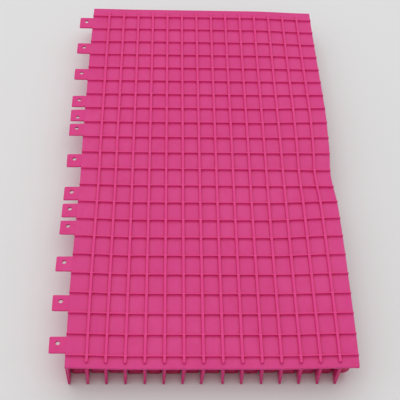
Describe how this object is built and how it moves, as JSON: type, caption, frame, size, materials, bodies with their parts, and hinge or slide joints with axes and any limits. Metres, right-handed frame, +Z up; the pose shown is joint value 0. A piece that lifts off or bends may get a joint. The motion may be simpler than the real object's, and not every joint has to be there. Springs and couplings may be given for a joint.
{
  "type": "pool robot brush sleeve",
  "caption": "Flexible moulded brush sleeve for a pool-cleaning robot's roller, lying flat: ribbed web above, long scrubbing blades with cross flaps below, fastening tabs on one edge.",
  "frame": {"origin": "centre of the base of the bounding box, tabs included: the sleeve lies flat on its blade tips", "axes": "+X across the web, away from the tabs; +Y along the blades; +Z up, from the blades to the ribs"},
  "size_m": [0.2398, 0.412, 0.031],
  "materials": {
    "web": "satin soft PVC, bright pink",
    "blade": "satin soft PVC, bright pink",
    "flap": "satin soft PVC, bright pink",
    "tab": "satin soft PVC, bright pink"
  },
  "bodies": {
    "stave_00": {"web_strip_00": "web", "blade_00": "blade", "flaps_00": "flap"},
    "stave_01": {"web_strip_01": "web", "blade_01": "blade", "flaps_01": "flap"},
    "stave_02": {"web_strip_02": "web", "blade_02": "blade", "flaps_02": "flap"},
    "stave_03": {"web_strip_03": "web", "blade_03": "blade", "flaps_03": "flap"},
    "stave_04": {"web_strip_04": "web", "blade_04": "blade", "flaps_04": "flap"},
    "stave_05": {"web_strip_05": "web", "blade_05": "blade", "flaps_05": "flap"},
    "stave_06": {"web_strip_06": "web", "blade_06": "blade", "flaps_06": "flap"},
    "stave_07": {"web_strip_07": "web", "blade_07": "blade", "flaps_07": "flap"},
    "stave_08": {"web_strip_08": "web", "blade_08": "blade", "flaps_08": "flap"},
    "stave_09": {"web_strip_09": "web", "blade_09": "blade", "flaps_09": "flap"},
    "stave_10": {"web_strip_10": "web", "blade_10": "blade", "flaps_10": "flap"},
    "stave_11": {"web_strip_11": "web", "blade_11": "blade", "flaps_11": "flap"},
    "stave_12": {"web_strip_12": "web", "blade_12": "blade", "flaps_12": "flap"},
    "stave_13": {"web_strip_13": "web", "blade_13": "blade", "flaps_13": "flap"},
    "stave_14": {"web_strip_14": "web", "blade_14": "blade", "flaps_14": "flap"},
    "stave_15": {"web_strip_15": "web"},
    "fastening_tab_01": {"tab_01": "tab"},
    "fastening_tab_02": {"tab_02": "tab"},
    "fastening_tab_03": {"tab_03": "tab"},
    "fastening_tab_04": {"tab_04": "tab"},
    "fastening_tab_05": {"tab_05": "tab"},
    "fastening_tab_06": {"tab_06": "tab"},
    "fastening_tab_07": {"tab_07": "tab"},
    "fastening_tab_08": {"tab_08": "tab"},
    "fastening_tab_09": {"tab_09": "tab"},
    "fastening_tab_10": {"tab_10": "tab"},
    "fastening_tab_11": {"tab_11": "tab"},
    "fastening_tab_12": {"tab_12": "tab"},
    "fastening_tab_13": {"tab_13": "tab"}
  },
  "joints": [
    {"name": "fold_00", "type": "hinge", "parent": "stave_01", "child": "stave_00", "pos_m": [-0.09765, 0, 0.029], "axis": [0, 1, 0], "range_deg": [0, 22.4]},
    {"name": "fold_01", "type": "hinge", "parent": "stave_02", "child": "stave_01", "pos_m": [-0.08265, 0, 0.029], "axis": [0, 1, 0], "range_deg": [0, 22.4]},
    {"name": "fold_02", "type": "hinge", "parent": "stave_03", "child": "stave_02", "pos_m": [-0.06765, 0, 0.029], "axis": [0, 1, 0], "range_deg": [0, 22.4]},
    {"name": "fold_03", "type": "hinge", "parent": "stave_04", "child": "stave_03", "pos_m": [-0.05265, 0, 0.029], "axis": [0, 1, 0], "range_deg": [0, 22.4]},
    {"name": "fold_04", "type": "hinge", "parent": "stave_05", "child": "stave_04", "pos_m": [-0.03765, 0, 0.029], "axis": [0, 1, 0], "range_deg": [0, 22.4]},
    {"name": "fold_05", "type": "hinge", "parent": "stave_06", "child": "stave_05", "pos_m": [-0.02265, 0, 0.029], "axis": [0, 1, 0], "range_deg": [0, 22.4]},
    {"name": "fold_06", "type": "hinge", "parent": "stave_07", "child": "stave_06", "pos_m": [-0.00765, 0, 0.029], "axis": [0, 1, 0], "range_deg": [0, 22.4]},
    {"name": "fold_07", "type": "hinge", "parent": "stave_07", "child": "stave_08", "pos_m": [0.00735, 0, 0.029], "axis": [0, -1, 0], "range_deg": [0, 22.4], "stiffness_Nm_per_rad": 1},
    {"name": "fold_08", "type": "hinge", "parent": "stave_08", "child": "stave_09", "pos_m": [0.02235, 0, 0.029], "axis": [0, -1, 0], "range_deg": [0, 22.4]},
    {"name": "fold_09", "type": "hinge", "parent": "stave_09", "child": "stave_10", "pos_m": [0.03735, 0, 0.029], "axis": [0, -1, 0], "range_deg": [0, 22.4]},
    {"name": "fold_10", "type": "hinge", "parent": "stave_10", "child": "stave_11", "pos_m": [0.05235, 0, 0.029], "axis": [0, -1, 0], "range_deg": [0, 22.4]},
    {"name": "fold_11", "type": "hinge", "parent": "stave_11", "child": "stave_12", "pos_m": [0.06735, 0, 0.029], "axis": [0, -1, 0], "range_deg": [0, 22.4]},
    {"name": "fold_12", "type": "hinge", "parent": "stave_12", "child": "stave_13", "pos_m": [0.08235, 0, 0.029], "axis": [0, -1, 0], "range_deg": [0, 22.4]},
    {"name": "fold_13", "type": "hinge", "parent": "stave_13", "child": "stave_14", "pos_m": [0.09735, 0, 0.029], "axis": [0, -1, 0], "range_deg": [0, 22.4]},
    {"name": "fold_14", "type": "hinge", "parent": "stave_14", "child": "stave_15", "pos_m": [0.11235, 0, 0.029], "axis": [0, -1, 0], "range_deg": [0, 22.4]},
    {"name": "tab_bend_01", "type": "hinge", "parent": "stave_00", "child": "fastening_tab_01", "pos_m": [-0.10765, 0.18432, 0.02825], "axis": [0, -1, 0], "range_deg": [-70, 70], "stiffness_Nm_per_rad": 0.004},
    {"name": "tab_bend_02", "type": "hinge", "parent": "stave_00", "child": "fastening_tab_02", "pos_m": [-0.10765, 0.14722, 0.02825], "axis": [0, -1, 0], "range_deg": [-70, 70], "stiffness_Nm_per_rad": 0.004},
    {"name": "tab_bend_03", "type": "hinge", "parent": "stave_00", "child": "fastening_tab_03", "pos_m": [-0.10765, 0.11013, 0.02825], "axis": [0, -1, 0], "range_deg": [-70, 70], "stiffness_Nm_per_rad": 0.004},
    {"name": "tab_bend_04", "type": "hinge", "parent": "stave_00", "child": "fastening_tab_04", "pos_m": [-0.10765, 0.07303, 0.02825], "axis": [0, -1, 0], "range_deg": [-70, 70], "stiffness_Nm_per_rad": 0.004},
    {"name": "tab_bend_05", "type": "hinge", "parent": "stave_00", "child": "fastening_tab_05", "pos_m": [-0.10765, 0.05448, 0.02825], "axis": [0, -1, 0], "range_deg": [-70, 70], "stiffness_Nm_per_rad": 0.004},
    {"name": "tab_bend_06", "type": "hinge", "parent": "stave_00", "child": "fastening_tab_06", "pos_m": [-0.10765, 0.03592, 0.02825], "axis": [0, -1, 0], "range_deg": [-70, 70], "stiffness_Nm_per_rad": 0.004},
    {"name": "tab_bend_07", "type": "hinge", "parent": "stave_00", "child": "fastening_tab_07", "pos_m": [-0.10765, -0.00118, 0.02825], "axis": [0, -1, 0], "range_deg": [-70, 70], "stiffness_Nm_per_rad": 0.004},
    {"name": "tab_bend_08", "type": "hinge", "parent": "stave_00", "child": "fastening_tab_08", "pos_m": [-0.10765, -0.03828, 0.02825], "axis": [0, -1, 0], "range_deg": [-70, 70], "stiffness_Nm_per_rad": 0.004},
    {"name": "tab_bend_09", "type": "hinge", "parent": "stave_00", "child": "fastening_tab_09", "pos_m": [-0.10765, -0.05683, 0.02825], "axis": [0, -1, 0], "range_deg": [-70, 70], "stiffness_Nm_per_rad": 0.004},
    {"name": "tab_bend_10", "type": "hinge", "parent": "stave_00", "child": "fastening_tab_10", "pos_m": [-0.10765, -0.07537, 0.02825], "axis": [0, -1, 0], "range_deg": [-70, 70], "stiffness_Nm_per_rad": 0.004},
    {"name": "tab_bend_11", "type": "hinge", "parent": "stave_00", "child": "fastening_tab_11", "pos_m": [-0.10765, -0.11248, 0.02825], "axis": [0, -1, 0], "range_deg": [-70, 70], "stiffness_Nm_per_rad": 0.004},
    {"name": "tab_bend_12", "type": "hinge", "parent": "stave_00", "child": "fastening_tab_12", "pos_m": [-0.10765, -0.14958, 0.02825], "axis": [0, -1, 0], "range_deg": [-70, 70], "stiffness_Nm_per_rad": 0.004},
    {"name": "tab_bend_13", "type": "hinge", "parent": "stave_00", "child": "fastening_tab_13", "pos_m": [-0.10765, -0.18668, 0.02825], "axis": [0, -1, 0], "range_deg": [-70, 70], "stiffness_Nm_per_rad": 0.004}
  ],
  "couplings": [
    {"joint": "fold_00", "follows": "fold_07", "ratio": 1},
    {"joint": "fold_01", "follows": "fold_07", "ratio": 1},
    {"joint": "fold_02", "follows": "fold_07", "ratio": 1},
    {"joint": "fold_03", "follows": "fold_07", "ratio": 1},
    {"joint": "fold_04", "follows": "fold_07", "ratio": 1},
    {"joint": "fold_05", "follows": "fold_07", "ratio": 1},
    {"joint": "fold_06", "follows": "fold_07", "ratio": 1},
    {"joint": "fold_08", "follows": "fold_07", "ratio": 1},
    {"joint": "fold_09", "follows": "fold_07", "ratio": 1},
    {"joint": "fold_10", "follows": "fold_07", "ratio": 1},
    {"joint": "fold_11", "follows": "fold_07", "ratio": 1},
    {"joint": "fold_12", "follows": "fold_07", "ratio": 1},
    {"joint": "fold_13", "follows": "fold_07", "ratio": 1},
    {"joint": "fold_14", "follows": "fold_07", "ratio": 1}
  ]
}
